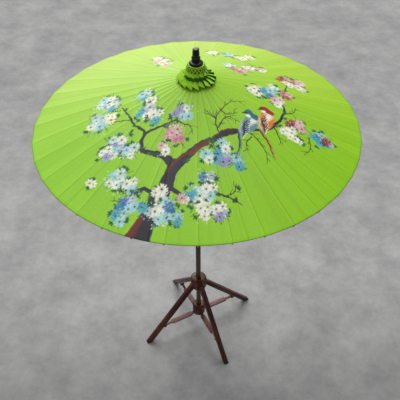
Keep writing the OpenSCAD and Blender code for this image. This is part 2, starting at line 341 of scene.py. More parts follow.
def turned(name, profile, material, body, around=64):
    """A solid of revolution. The profile is (radius, height) from one end to the other."""
    profile = np.array(profile, float)
    angle = np.arange(around) * 2 * math.pi / around
    r, z = profile[:, 0][:, None], profile[:, 1][:, None]
    points = np.stack([r * np.cos(angle), r * np.sin(angle), z + 0 * angle], -1).reshape(-1, 3)
    piece = make(name, points, capped_faces(len(profile), around), material, body)
    face_out(piece)
    return piece


def face_out(piece):
    mesh = piece.data
    work = bmesh.new()
    work.from_mesh(mesh)
    bmesh.ops.recalc_face_normals(work, faces=work.faces)
    work.to_mesh(mesh)
    work.free()


def smooth_profile(knots, steps=5):
    """A Catmull-Rom curve through (radius, height) knots."""
    k = np.array([knots[0], *knots, knots[-1]], float)
    out = []
    for a, b, c, d in zip(k[:-3], k[1:-2], k[2:-1], k[3:], strict=True):
        for t in np.arange(steps) / steps:
            square = (2 * a - 5 * b + 4 * c - d) * t**2
            cube = (3 * b - a - 3 * c + d) * t**3
            out.append(0.5 * (2 * b + (c - a) * t + square + cube))
    out.append(k[-1])
    return np.array(out)


def tube_points(path, radius, sides=6):
    """Points and faces of a closed tube along a path."""
    path = np.array(path, float)
    ahead = np.gradient(path, axis=0)
    ahead /= np.linalg.norm(ahead, axis=1)[:, None] + 1e-12
    side = np.cross(ahead, [0.13, 0.21, 0.97])
    side /= np.linalg.norm(side, axis=1)[:, None] + 1e-12
    other = np.cross(ahead, side)
    angle = np.arange(sides) * 2 * math.pi / sides
    radius = np.broadcast_to(radius, len(path))[:, None, None]
    ring = np.cos(angle)[None, :, None] * side[:, None] + np.sin(angle)[None, :, None] * other[:, None]
    points = (path[:, None] + radius * ring).reshape(-1, 3)
    return points, capped_faces(len(path), sides)


def joined(parts):
    """Several (points, faces) pairs as one."""
    points, faces, start = [], [], 0
    for p, f in parts:
        points.extend(p)
        faces.extend(tuple(i + start for i in face) for face in f)
        start += len(p)
    return points, faces


def thread(name, paths, radius, material, body, sides=6):
    points, faces = joined([tube_points(p, radius, sides) for p in paths])
    piece = make(name, points, faces, material, body)
    face_out(piece)
    return piece


def refined(node, material, edge, place=None, body=None, name=None, turn=0.0):
    """A copy of a CAD node's solid with its edges rounded, in its own frame so that the grain follows it."""
    source = frame["nodes"][node]
    mesh = source.data.copy()
    mesh.transform(Matrix.Rotation(turn, 4, "Z"))
    piece = bpy.data.objects.new(name or node + "_finished", mesh)
    bpy.context.collection.objects.link(piece)
    place = place or Matrix.Identity(4)
    mesh.transform(place.inverted())
    piece.matrix_world = place
    work = bmesh.new()
    work.from_mesh(mesh)
    bmesh.ops.remove_doubles(work, verts=work.verts, dist=2e-6)
    bmesh.ops.dissolve_limit(work, angle_limit=math.radians(0.5), verts=work.verts, edges=work.edges)
    work.to_mesh(mesh)
    work.free()
    mesh.materials.clear()
    mesh.materials.append(material)
    rounding = piece.modifiers.new("rounding", "BEVEL")
    rounding.width = edge
    rounding.segments = 2
    rounding.limit_method = "ANGLE"
    rounding.angle_limit = math.radians(35)
    rounding.use_clamp_overlap = True
    rounding.harden_normals = False
    bake_modifiers(piece)
    piece.data.polygons.foreach_set("use_smooth", [True] * len(piece.data.polygons))
    piece.data.set_sharp_from_angle(angle=math.radians(40))
    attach(piece, body or source["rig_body"])
    return piece


def bake_modifiers(piece):
    """The piece's mesh with its modifiers applied."""
    view = bpy.context.evaluated_depsgraph_get()
    view.update()
    made = bpy.data.meshes.new_from_object(piece.evaluated_get(view))
    piece.modifiers.clear()
    piece.data = made


# ---- the painting, in plan with the rim at radius 1 ----
class Painting:
    """Colours at scattered points of the plan, painted over with soft-edged dabs and strokes."""

    CELL = 0.02

    def __init__(self, x, y, colours):
        wobble = 0.0014
        self.x = x + wobble * (np.sin(61 * y + 23 * x) + np.sin(137 * y - 71 * x + 1.3))
        self.y = y + wobble * (np.sin(57 * x - 31 * y + 2.1) + np.sin(149 * x + 43 * y))
        self.colours = colours
        self.side = int(2.4 / self.CELL)
        cell = self.cell_of(self.x) * self.side + self.cell_of(self.y)
        self.order = np.argsort(cell, kind="stable")
        self.cells = cell[self.order]

    def cell_of(self, value):
        return np.clip(((np.asarray(value) + 1.2) / self.CELL).astype(int), 0, self.side - 1)

    def near(self, low_x, high_x, low_y, high_y):
        """The points inside a box."""
        found = []
        for column in range(self.cell_of(low_x), self.cell_of(high_x) + 1):
            first = np.searchsorted(self.cells, column * self.side + self.cell_of(low_y), "left")
            last = np.searchsorted(self.cells, column * self.side + self.cell_of(high_y), "right")
            found.append(self.order[first:last])
        return np.concatenate(found)

    def lay(self, at, cover, colour):
        cover = cover[:, None]
        self.colours[at] = self.colours[at] * (1 - cover) + colour * cover

    def dab(self, x, y, long, wide, angle, colour, soft=0.3, strength=1.0, light=0.0):
        """An elliptical touch of the brush, lighter towards its far end."""
        reach = max(long, wide)
        at = self.near(x - reach, x + reach, y - reach, y + reach)
        c, s = math.cos(angle), math.sin(angle)
        u = ((self.x[at] - x) * c + (self.y[at] - y) * s) / long
        v = ((self.y[at] - y) * c - (self.x[at] - x) * s) / wide
        cover = np.clip((1 - np.hypot(u, v)) / soft, 0, 1) * strength
        shade = np.clip(colour * (1 + light * u[:, None]), 0, 0.95)
        self.lay(at, cover, shade)

    def stroke(self, points, widths, colour, edge=None, soft=0.25, streak=0.0):
        """A brush line whose half width changes; edge is the colour along one side."""
        points = np.array(points, float)
        widths = np.broadcast_to(np.array(widths, float), len(points))
        for (a, b), (wa, wb) in zip(
            zip(points[:-1], points[1:], strict=True), zip(widths[:-1], widths[1:], strict=True), strict=True
        ):
            reach = max(wa, wb)
            low, high = np.minimum(a, b) - reach, np.maximum(a, b) + reach
            at = self.near(low[0], high[0], low[1], high[1])
            along = b - a
            length = math.hypot(*along)
            px, py = self.x[at] - a[0], self.y[at] - a[1]
            t = np.clip((px * along[0] + py * along[1]) / length**2, 0, 1)
            across = (py * along[0] - px * along[1]) / length
            off = np.hypot(px - t * along[0], py - t * along[1])
            width = wa + (wb - wa) * t
            cover = np.clip((1 - off / width) / soft, 0, 1)
            shade = np.repeat(np.asarray(colour)[None], len(at), 0)
            if edge is not None:
                share = np.clip((across / width - 0.25) * 2.2, 0, 1)[:, None]
                shade = shade * (1 - share) + edge * share
            if streak:
                ripple = np.sin(300 * across + 40 * (px + py)) * np.sin(90 * self.x[at] - 70 * self.y[at])
                shade = shade * (1 + streak * ripple[:, None])
            self.lay(at, cover, np.clip(shade, 0, 1))


def bent(points, steps=8):
    """A smooth curve through plan points."""
    return smooth_profile(points, steps)


PETALS = {
    "white": linear(242, 246, 236),
    "cream": linear(248, 240, 206),
    "turquoise": linear(66, 172, 204),
    "blue": linear(48, 128, 194),
    "sky": linear(164, 218, 232),
    "lavender": linear(150, 152, 208),
    "pink": linear(208, 120, 150),
    "rose": linear(226, 178, 192),
    "crimson": linear(158, 44, 66),
    "red": linear(176, 58, 62),
}
BARK = linear(42, 40, 54)
BARK_EDGE = linear(112, 44, 38)
TWIG = linear(58, 44, 32)
LEAF = linear(20, 88, 56)
LEAF_LIGHT = linear(44, 122, 70)
HEART = linear(60, 50, 84)
STAMEN = linear(236, 214, 120)


def polar(x, y, distance, angle):
    """The point at a distance and an angle from another."""
    return x + distance * math.cos(angle), y + distance * math.sin(angle)


def blossom(art, x, y, size, colour, petals=6):
    """One flower: round petals, paler at the tip, and a dark heart with stamens."""
    turn = random.uniform(0, 6.3)
    wide = 0.27 if petals < 9 else 0.19
    for k in range(petals):
        a = turn + 2 * math.pi * k / petals + random.uniform(-0.12, 0.12)
        tone = colour * random.uniform(0.8, 1.08)
        art.dab(*polar(x, y, 0.54 * size, a), 0.46 * size, wide * size, a, tone, 0.45, 0.94, 0.2)
    art.dab(x, y, 0.19 * size, 0.19 * size, 0, HEART, 0.4)
    for k in range(5):
        a = turn + 1.3 * k
        art.dab(*polar(x, y, 0.28 * size, a), 0.06 * size, 0.06 * size, 0, STAMEN, 0.6)


def leaf(art, x, y, length, angle, colour=LEAF):
    art.dab(x, y, length, 0.4 * length, angle, colour, 0.4, 0.95, 0.25)
    ends = [polar(x, y, -0.8 * length, angle), polar(x, y, 0.8 * length, angle)]
    art.stroke(ends, 0.0014, colour * 0.6)


def leaf_tuft(art, x, y, facing, count=5):
    """A few small leaves that fan out from one point."""
    for k in range(count):
        a = facing + (k - (count - 1) / 2) * 0.55 + random.uniform(-0.2, 0.2)
        length = random.uniform(0.009, 0.014)
        shade = LEAF if random.random() < 0.75 else LEAF_LIGHT
        leaf(art, *polar(x, y, 0.9 * length, a), length, a, shade)


def cluster(art, x, y, spread, names, flowers):
    """A spray: thin shoots, tufts of leaves, washes of colour, blossoms and a tail of loose petals."""
    for _ in range(2 + flowers // 2):
        a = random.uniform(0, 6.3)
        ahead = np.array([math.cos(a), math.sin(a)])
        side = np.array([-ahead[1], ahead[0]]) * random.uniform(-0.25, 0.25)
        middle = np.array([x, y]) + spread * (0.8 * ahead + side)
        tip = np.array([x, y]) + spread * random.uniform(1.25, 1.6) * ahead
        art.stroke([(x, y), middle, tip], [0.0026, 0.0020, 0.0010], TWIG)
    for _ in range(2 + flowers // 2):
        a = random.uniform(0, 6.3)
        d = spread * random.uniform(0.8, 1.1)
        leaf_tuft(art, *polar(x, y, d, a), a)
    for k in range(flowers):
        a = 2.4 * k + 1.1
        d = spread * 0.45 * math.sqrt((k + 0.3) / flowers)
        tone = PETALS[names[k % len(names)]] * 0.92
        long = spread * random.uniform(0.45, 0.6)
        art.dab(*polar(x, y, d, a), long, 0.75 * long, a, tone, 0.6, 0.85)
    drift = random.uniform(0, 6.3)
    for k in range(10 * flowers):
        a = drift + random.normal(0, 1.1)
        d = spread * random.uniform(0.3, 1.2 if k % 3 else 1.6)
        tone = PETALS[names[random.integers(len(names))]] * random.uniform(0.85, 1.08)
        size = random.uniform(0.0035, 0.0075) * (1.25 - 0.35 * d / spread)
        art.dab(*polar(x, y, d, a), size, size * 0.7, a, tone, 0.5, 0.9)
    for k in range(flowers):
        a = 2.4 * k + random.uniform(-0.3, 0.3)
        d = spread * 0.8 * math.sqrt((k + 0.3) / flowers)
        tone = PETALS[names[k % len(names)]]
        if k % 3 == 0:
            tone = 0.5 * tone + 0.5 * PETALS["white"]
        size = random.uniform(0.023, 0.039)
        blossom(art, *polar(x, y, d, a), size, tone, 6 + k % 3 if size < 0.032 else 11)


def twig(art, points, width=0.0044):
    """A thin branch with a few short side shoots, and leaves at its end."""
    line = bent(points)
    art.stroke(line, np.linspace(width, 0.0016, len(line)), TWIG)
    for i in range(4, len(line) - 1, 4):
        ahead = line[i + 1] - line[i]
        a = math.atan2(ahead[1], ahead[0]) + random.choice([-0.8, 0.8])
        reach = random.uniform(0.02, 0.045)
        bend = line[i] + 0.6 * reach * np.array([math.cos(a), math.sin(a)])
        tip = bend + 0.5 * reach * np.array([math.cos(a - 0.5), math.sin(a - 0.5)])
        art.stroke([line[i], bend, tip], [0.0026, 0.0018, 0.0010], TWIG)


# The birds' crown, breast, flank, wing and tail
BLUE_BIRD = [
    linear(*c) for c in ((44, 112, 132), (158, 190, 196), (104, 142, 156), (38, 56, 74), (52, 92, 112))
]
WARM_BIRD = [
    linear(*c) for c in ((160, 32, 44), (232, 196, 160), (226, 118, 36), (70, 40, 44), (150, 58, 36))
]


def songbird(art, head, body, tail, lean, colours):
    """A small long-tailed bird, from the middle of its head and body, its tail's end and its lean."""
    crown, breast, flank, wing, plume = colours
    head, body, tail = (np.array(p, float) for p in (head, body, tail))
    ahead = np.array([math.cos(lean), math.sin(lean)])
    aside = np.array([ahead[1], -ahead[0]])
    light = PETALS["white"]

    def at(forward, sideways):
        return body + forward * ahead + sideways * aside

    rump = at(-0.088, -0.004)
    feathers = bent([at(-0.03, 0.0), rump, 0.5 * (rump + tail) + 0.014 * aside, tail])
    for shift, tone, wide in (
        (-0.0060, plume, 0.0062), (0.0, wing, 0.0054), (0.0056, breast, 0.0016), (0.0082, plume, 0.0022),
    ):
        art.stroke(feathers + shift * aside, np.linspace(wide, 0.0014, len(feathers)), tone)
    art.dab(*at(0.0, 0.0), 0.092, 0.044, lean, breast, 0.2)
    art.dab(*at(-0.006, 0.030), 0.070, 0.017, lean - 0.14, flank, 0.4, 0.95)
    art.dab(*at(0.020, -0.030), 0.056, 0.013, lean + 0.16, flank, 0.5, 0.85)
    art.dab(*at(0.040, 0.004), 0.034, 0.022, lean, light, 0.6, 0.8)
    for k in range(6):
        start, end = at(0.044 - 0.016 * k, -0.014 + 0.007 * k), at(-0.056 - 0.008 * k, -0.018 + 0.0075 * k)
        art.stroke([start, 0.5 * (start + end) - 0.006 * aside, end], [0.0026, 0.0044, 0.0016], wing)
        art.stroke([start + 0.0050 * aside, end + 0.0050 * aside], [0.0012, 0.0020], light)
    # the head looks to the left, and its crown runs down to the nape
    nape = at(0.078, 0.022)
    art.dab(*(0.5 * (head + nape)), 0.036, 0.022, math.atan2(*(head - nape)[::-1]), crown, 0.2)
    art.dab(*head, 0.029, 0.027, 0, crown, 0.2)
    art.dab(*(head + (-0.008, -0.020)), 0.018, 0.013, 0.3, light, 0.4, 0.95)
    art.dab(*(head + (-0.013, 0.001)), 0.0052, 0.0052, 0, linear(12, 12, 14), 0.4)
    art.stroke([head + (-0.024, -0.002), head + (-0.044, -0.014)], [0.0085, 0.0014], linear(58, 50, 42))


LIMBS = [
    # A line of plan points and the half widths at its two ends.
    ([(-0.325, -0.98), (-0.275, -0.88), (-0.250, -0.81), (-0.215, -0.745)], (0.082, 0.034)),
    ([(-0.225, -0.76), (-0.180, -0.71), (-0.155, -0.64), (-0.125, -0.55)], (0.040, 0.036)),
    ([(-0.125, -0.57), (-0.165, -0.51), (-0.235, -0.475), (-0.30, -0.45)], (0.026, 0.012)),
    (
        [(-0.30, -0.45), (-0.305, -0.39), (-0.29, -0.33), (-0.345, -0.27), (-0.38, -0.20), (-0.43, -0.10)],
        (0.013, 0.004),
    ),
    ([(-0.29, -0.34), (-0.21, -0.315), (-0.12, -0.285), (-0.08, -0.26)], (0.009, 0.003)),
    ([(-0.135, -0.59), (-0.095, -0.545), (-0.045, -0.50), (-0.005, -0.465)], (0.030, 0.022)),
    ([(-0.03, -0.485), (0.01, -0.45), (0.045, -0.43), (0.075, -0.415)], (0.021, 0.016)),
    ([(0.105, -0.40), (0.145, -0.365), (0.20, -0.345), (0.265, -0.335)], (0.021, 0.013)),
    ([(0.10, -0.40), (0.26, -0.335), (0.33, -0.315), (0.39, -0.30), (0.44, -0.26)], (0.011, 0.008)),
    (
        [(0.435, -0.255), (0.485, -0.19), (0.515, -0.10), (0.51, -0.03), (0.54, 0.10), (0.57, 0.22)],
        (0.011, 0.003),
    ),
    ([(-0.235, -0.71), (-0.285, -0.675), (-0.34, -0.70), (-0.40, -0.65)], (0.014, 0.004)),
    ([(-0.14, -0.69), (-0.06, -0.735), (0.06, -0.72), (0.15, -0.735), (0.23, -0.775)], (0.013, 0.003)),
]
# The limbs, by their first point, whose bark is red-brown
RED_LIMBS = [(-0.03, -0.485)]
TWIGS = [
    [(0.12, -0.36), (0.105, -0.285), (0.135, -0.225), (0.195, -0.15), (0.28, -0.12)],
    [(0.105, -0.285), (0.092, -0.268), (0.072, -0.256), (0.060, -0.232)],
    [(0.120, -0.335), (0.150, -0.275), (0.185, -0.255), (0.240, -0.285)],
    [(0.135, -0.225), (0.18, -0.24), (0.23, -0.215)],
    [(0.27, -0.34), (0.33, -0.37), (0.375, -0.45), (0.38, -0.52)],
    [(0.30, -0.37), (0.27, -0.42), (0.28, -0.46)],
    [(0.44, -0.27), (0.46, -0.33), (0.48, -0.38)],
    [(0.52, -0.13), (0.57, -0.10), (0.59, -0.04)],
    [(-0.10, -0.30), (-0.04, -0.33), (-0.02, -0.38)],
    [(0.05, -0.43), (0.10, -0.47), (0.14, -0.50)],
    [(-0.44, -0.12), (-0.50, -0.10), (-0.53, -0.05)],
    [(-0.38, -0.22), (-0.46, -0.20), (-0.54, -0.19)],
    [(0.64, -0.28), (0.64, -0.36), (0.60, -0.42)],
    [(0.15, -0.735), (0.19, -0.71), (0.21, -0.66)],
    [(-0.34, -0.70), (-0.40, -0.73), (-0.46, -0.72)],
    [(0.30, 0.25), (0.36, 0.38), (0.30, 0.48)],
    [(-0.18, 0.30), (-0.22, 0.42), (-0.26, 0.50)],
    [(0.12, 0.50), (0.11, 0.58), (0.09, 0.66)],
]
TUFTS = [
    # Where leaves sit on the limbs, and the way they face.
    (-0.30, -0.44, 2.0), (-0.25, -0.47, 4.6), (-0.06, -0.53, 5.2), (0.07, -0.415, 2.4), (0.09, -0.405, 0.6),
    (0.08, -0.42, 4.9), (0.44, -0.26, 1.2), (0.47, -0.24, 5.6), (0.37, -0.29, 4.4), (0.52, -0.12, 3.0),
    (-0.40, -0.13, 2.6), (-0.34, -0.27, 3.4), (-0.17, -0.31, 4.4), (-0.10, -0.28, 1.6), (0.10, -0.73, 1.2),
    (0.19, -0.75, 5.6), (-0.33, -0.69, 2.4), (-0.30, -0.68, 4.2), (0.21, -0.69, 0.6), (-0.36, -0.31, 2.8),
]
SPRAYS = [
    # Where a spray is, how far it spreads, its petal colours and its number of flowers.
    (-0.53, -0.01, 0.075, ("white", "sky", "turquoise", "white"), 7),
    (-0.50, -0.05, 0.045, ("turquoise", "white"), 4),
    (-0.57, -0.17, 0.075, ("turquoise", "white", "sky"), 7),
    (-0.50, -0.15, 0.040, ("cream", "white"), 3),
    (-0.30, -0.05, 0.050, ("turquoise", "sky"), 4),
    (-0.26, -0.11, 0.035, ("white", "cream"), 3),
    (-0.29, -0.19, 0.060, ("lavender", "turquoise", "white"), 6),
    (-0.23, -0.24, 0.045, ("turquoise", "white"), 4),
    (-0.08, -0.24, 0.060, ("white", "lavender", "sky"), 6),
    (-0.12, -0.375, 0.065, ("pink", "rose", "pink"), 7),
    (-0.18, -0.45, 0.040, ("white", "rose"), 3),
    (-0.44, -0.385, 0.080, ("turquoise", "lavender", "sky", "white"), 8),
    (-0.37, -0.44, 0.045, ("white", "sky"), 4),
    (-0.51, -0.42, 0.045, ("lavender", "white"), 4),
    (-0.43, -0.60, 0.065, ("white", "sky"), 6),
    (-0.57, -0.60, 0.025, ("white",), 2),
    (-0.36, -0.65, 0.045, ("sky", "white"), 4),
    (-0.37, -0.75, 0.065, ("lavender", "blue", "sky"), 6),
    (-0.41, -0.82, 0.045, ("sky", "turquoise"), 4),
    (-0.20, -0.715, 0.040, ("white",), 4),
    (-0.20, -0.82, 0.070, ("white", "white", "sky"), 7),
    (-0.27, -0.80, 0.035, ("turquoise",), 2),
    (-0.11, -0.85, 0.035, ("turquoise", "sky"), 3),
    (-0.15, -0.77, 0.035, ("blue", "sky"), 3),
    (0.0, -0.735, 0.065, ("sky", "turquoise", "white"), 6),
    (0.05, -0.64, 0.045, ("white", "blue"), 4),
    (0.06, -0.71, 0.045, ("sky", "white"), 4),
    (0.03, -0.82, 0.045, ("white",), 4),
    (0.11, -0.82, 0.045, ("lavender", "white"), 4),
    (-0.07, -0.76, 0.030, ("white", "rose"), 2),
    (0.13, -0.51, 0.065, ("blue", "turquoise", "lavender"), 6),
    (0.15, -0.44, 0.035, ("white", "sky"), 3),
    (0.22, -0.53, 0.045, ("turquoise", "sky"), 3),
    (0.06, -0.51, 0.035, ("white", "sky"), 3),
    (0.36, 0.02, 0.055, ("white", "cream"), 5),
    (0.43, 0.03, 0.055, ("blue", "turquoise"), 5),
    (0.47, 0.11, 0.040, ("sky", "white"), 3),
    (0.48, -0.04, 0.045, ("white", "rose"), 4),
    (0.54, 0.06, 0.045, ("red", "pink"), 4),
    (0.56, 0.27, 0.055, ("red", "crimson"), 5),
    (0.64, 0.27, 0.050, ("rose", "pink"), 4),
    (0.58, 0.22, 0.035, ("white", "cream"), 3),
    (0.66, 0.20, 0.030, ("rose", "white"), 2),
    (0.57, -0.20, 0.060, ("pink", "crimson", "rose"), 6),
    (0.53, -0.28, 0.055, ("white", "white", "cream"), 5),
    (0.57, -0.33, 0.030, ("white",), 2),
    (0.71, -0.27, 0.060, ("turquoise", "blue"), 6),
    (0.76, -0.29, 0.030, ("lavender", "crimson"), 2),
    (-0.22, 0.42, 0.060, ("cream", "rose", "white"), 5),
    (-0.19, 0.34, 0.040, ("rose", "cream"), 3),
    (-0.25, 0.52, 0.030, ("white",), 3),
    (0.10, 0.60, 0.045, ("white", "cream"), 4),
    (0.21, 0.575, 0.045, ("sky", "turquoise"), 4),
    (0.30, 0.52, 0.050, ("white", "cream"), 4),
    (0.36, 0.59, 0.035, ("cream",), 3),
    (0.20, 0.30, 0.045, ("white", "sky"), 4),
    (0.27, 0.24, 0.050, ("pink", "rose"), 5),
    (0.33, 0.31, 0.045, ("rose", "white"), 4),
    (0.42, 0.345, 0.035, ("white", "rose"), 3),
]


def paint_tree(art):
    """A blossoming tree that grows from the front of the rim, with two birds on its right limb."""
    for line in TWIGS:
        twig(art, line)
    for points, (first, last) in LIMBS:
        line = bent(points)
        widths = np.linspace(first, last, len(line)) * random.uniform(0.88, 1.12, len(line))
        if first > 0.05:
            widths = last + (first - last) * np.linspace(1, 0, len(line)) ** 2.2
        if points[0] in RED_LIMBS:
            art.stroke(line, widths, BARK_EDGE, BARK, 0.14, 0.3)
        else:
            art.stroke(line, widths, BARK, BARK_EDGE if 0.012 < last < 0.035 else None, 0.12, 0.16)
    for x, y, facing in TUFTS:
        leaf_tuft(art, x, y, facing, 6)
    for x, y, spread, names, flowers in SPRAYS:
        cluster(art, x, y, spread, names, flowers)
    songbird(art, (0.298, -0.203), (0.290, -0.288), (0.207, -0.52), 0.98, BLUE_BIRD)
    songbird(art, (0.392, -0.143), (0.394, -0.230), (0.424, -0.49), 1.22, WARM_BIRD)


# ---- canopy ----
def harmonics(angle, low, high, count):
    """A smooth random ripple round the canopy that repeats after a turn."""
    total = np.zeros_like(angle)
    for n, phase in zip(random.integers(low, high, count), random.uniform(0, 6.3, count), strict=True):
        total += np.sin(n * angle + phase)
    return total / math.sqrt(count)


def paper_surface(r, angle):
    """The paper's height, its plan radius after the scallop, its creases' depth and its hem's share."""
    near = np.abs((angle / RIB_PITCH + 0.5) % 1 - 0.5) * RIB_PITCH
    gap = r * RIB_PITCH / 2
    seat = 0.0019
    slack = np.clip((r * near - seat) / np.maximum(gap - seat, 1e-6), 0, 1)
    bow = 1 - (1 - slack) ** 2
    share = r / RIM_R
    sag = (0.0005 + 0.0010 * share) * bow
    fine = harmonics(angle, 90, 420, 14)
    broad = harmonics(angle, 40, 130, 9)
    inner = np.clip(1.15 - share, 0, 1)
    crease = bow * (fine * (0.25 + 0.75 * inner) + 0.7 * broad * share)
    height = RIM_Z + RISE * (1 - share) + PAPER / 2 / math.cos(SLOPE) - sag + 0.00016 * crease
    hem = 1 / (1 + np.exp(-(r - RIM_R + 0.011) / 0.0008))
    plan = r - 0.0014 * share**10 * bow
    return height + 0.0002 * hem, plan, crease, hem


ACROSS = 120
OUTWARD = 236


def canopy():
    """The painted paper as one surface, cut where the sectors fold."""
    radii = np.linspace(HOLE_R, RIM_R, OUTWARD + 1)
    step = 2 * math.pi / SECTORS / ACROSS
    angle = -math.pi / SECTORS + step * np.arange(SECTORS * ACROSS)
    r, a = np.meshgrid(radii, angle, indexing="ij")
    height, plan, crease, hem = paper_surface(r, a)
    x, y = plan * np.cos(a), plan * np.sin(a)
    # Painted light: the paper is painted yellower and paler at the back and bluer on the left, as painted
    # highlight and sheen, and deeper on the right, as painted shade; the hem is a deeper green.
    back = np.clip(0.35 + y / RIM_R, 0, 1.2)
    left = np.clip(-x / RIM_R, 0, 1)
    right = np.clip(x / RIM_R - 0.2, 0, 1)
    red = (1 + 0.40 * back - 0.12 * right) * (1 - 0.10 * hem)
    blue = (1 + 0.8 * left + 0.8 * back) * (1 - 1.15 * right * (1 - 0.6 * back)) * (1 - 0.4 * hem)
    green = 1 + 0.05 * back - 0.08 * right
    base = np.stack([red, green, blue], -1).reshape(-1, 3) * linear(147, 206, 43)
    patch = harmonics(a, 3, 30, 8) * 0.5 + 0.6 * np.sin(9 * x / RIM_R + 2) * np.sin(7 * y / RIM_R)
    # The tone varies in random patches, and is darker in the creases' hollows as painted shade.
    tone = 1 + 0.035 * patch - 0.06 * np.clip(-crease, 0, 2)
    # Painted shade as a dark line along one edge of each rib, and a faint painted highlight along the other.
    beside_rib = ((a / RIB_PITCH + 0.5) % 1 - 0.5) * RIB_PITCH * r
    dark = np.exp(-(((beside_rib - 0.0021) / 0.0011) ** 2))
    pale = np.exp(-(((beside_rib + 0.0024) / 0.0014) ** 2))
    rib_painted_light = dark - 0.35 * pale
    tone = tone - 0.30 * rib_painted_light * np.clip(r / 0.14, 0.2, 1) * (1 - 0.5 * hem)
    edge = np.clip((r - RIM_R + 0.0030) / 0.0025, 0, 1)
    tone = tone * (1 - 0.4 * edge)
    art = Painting((x / RIM_R).ravel(), (y / RIM_R).ravel(), base * tone.reshape(-1, 1))
    paint_tree(art)
    colours = np.clip(art.colours, 0, 1).reshape(*r.shape, 3)
    # The underside is the plain paper with some of the painting mixed in, as painted light shining through
    # the paper.
    paper_back = linear(150, 196, 62) * (0.86 * tone.reshape(*r.shape, 1))
    under = 0.78 * paper_back + 0.22 * colours
    for k in range(SECTORS):
        columns = np.arange(k * ACROSS, (k + 1) * ACROSS + 1) % (SECTORS * ACROSS)
        panel(k, x[:, columns], y[:, columns], height[:, columns], colours[:, columns], under[:, columns])


def panel(k, x, y, z, colours, under):
    """One sector of the paper, with its two faces and its edges."""
    rows, columns = x.shape
    top = np.stack([x, y, z], -1).reshape(-1, 3)
    bottom = top - np.array([0, 0, PAPER / math.cos(SLOPE)])
    count = len(top)
    index = np.arange(count).reshape(rows, columns)
    rim = np.concatenate([index[0, :], index[1:, -1], index[-1, -2::-1], index[-2:0:-1, 0]])
    after = np.roll(rim, -1)
    sides = np.stack([rim, after, after + count, rim + count], -1)
    faces = np.concatenate(
        [grid_faces(rows, columns, flip=True), grid_faces(rows, columns, count), sides]
    )
    name = f"canopy_paper_{k + 1}"
    piece = make(name, np.concatenate([top, bottom]), faces, PAINTED_PAPER, f"sector_{k + 1}")
    face_out(piece)
    layer = piece.data.color_attributes.new("paint", "FLOAT_COLOR", "POINT")
    shown = np.concatenate([colours.reshape(-1, 3), under.reshape(-1, 3)])
    layer.data.foreach_set("color", np.concatenate([shown, np.ones((len(shown), 1))], 1).ravel())
    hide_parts(f"canopy_panel_{k + 1}")
    fold(piece)


def fold(piece):
    """The piece gets a mesh of its own."""
    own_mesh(piece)


# ---- ribs, struts and their threads ----
def on_rib(distance, lift, azimuth, across=0.0):
    """A point on a rib: along it from its hinge, square to it, and to its side."""
    r = HINGE_R + distance * math.cos(SLOPE) + lift * math.sin(SLOPE)
    z = RIB_HINGE_Z - distance * math.sin(SLOPE) + lift * math.cos(SLOPE)
    c, s = math.cos(azimuth), math.sin(azimuth)
    return np.array([r * c - across * s, r * s + across * c, z])


def hinge_frame(azimuth, height, slope):
    """A rib's or strut's own frame: X along it, Y across."""
    return radial_frame(azimuth, HINGE_R, height, slope)


def wrapping(distance, azimuth, turns, half_wide, half_deep, length):
    """A thread wound round a rib."""
    t = np.linspace(0, turns * 2 * math.pi, turns * 12 + 1)
    corner = (np.abs(np.cos(t)) ** 4 + np.abs(np.sin(t)) ** 4) ** -0.25
    along = distance + length * (t / t[-1] - 0.5)
    return [
        on_rib(d, half_deep * c * math.sin(v), azimuth, half_wide * c * math.cos(v))
        for d, c, v in zip(along, corner, t, strict=True)
    ]


def between_ribs(distance, lift, azimuth, sag):
    """A thread strung over three ribs' gaps, from mid-gap to mid-gap of a sector."""
    path = []
    for step in np.linspace(-1.5, 1.5, 37):
        bow = abs((step + 0.5) % 1 - 0.5) * 2
        path.append(on_rib(distance, lift - sag * bow, azimuth + step * RIB_PITCH))
    return path


def ribs_and_struts():
    for k in range(SECTORS):
        azimuth = k * 2 * math.pi / SECTORS
        node = f"rib_{k + 1}"
        for side, label in ((-1, "left"), (0, "middle"), (1, "right")):
            at = azimuth + side * RIB_PITCH
            rib = refined(
                node, BAMBOO, 0.0006, hinge_frame(at, RIB_HINGE_Z, SLOPE), f"sector_{k + 1}",
                f"{node}_{label}", side * RIB_PITCH,
            )
            if side:
                fold(rib)
            else:
                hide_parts(node)
        strut_set(k, azimuth)
        thread_set(k, azimuth)


def strut_solid():
    """A strut's outline in its own frame: neck, body and tongue."""
    stations = [
        # distance from the runner hinge, half width, half depth
        (-0.0028, 0.0006, 0.0014), (-0.0018, 0.0010, 0.0025), (0.0, 0.0010, 0.0030), (0.028, 0.0010, 0.0030),
        (0.034, 0.0015, 0.0030), (0.120, 0.0016, 0.0031), (0.186, 0.0015, 0.0030), (0.197, 0.0007, 0.0026),
        (0.248, 0.0007, 0.0025), (0.2518, 0.0006, 0.0012),
    ]
    sides = 12
    angle = (np.arange(sides) + 0.5) * 2 * math.pi / sides
    squared = (np.abs(np.cos(angle)) ** 5 + np.abs(np.sin(angle)) ** 5) ** -0.2
    points = [
        (x, w * c * math.cos(v), d * c * math.sin(v))
        for x, w, d in stations
        for v, c in zip(angle, squared, strict=True)
    ]
    return points, capped_faces(len(stations), sides)


def strut_set(k, azimuth):
    points, faces = strut_solid()
    for side, label in ((-1, "left"), (0, "middle"), (1, "right")):
        place = hinge_frame(azimuth + side * RIB_PITCH, STRUT_HINGE_Z, -SLOPE)
        strut = make(f"strut_{k + 1}_{label}", points, faces, BAMBOO, f"struts_{k + 1}")
        strut.parent = None
        strut.matrix_world = place
        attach(strut, f"struts_{k + 1}")
        face_out(strut)
        if side:
            fold(strut)
        else:
            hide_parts(f"struts_{k + 1}")


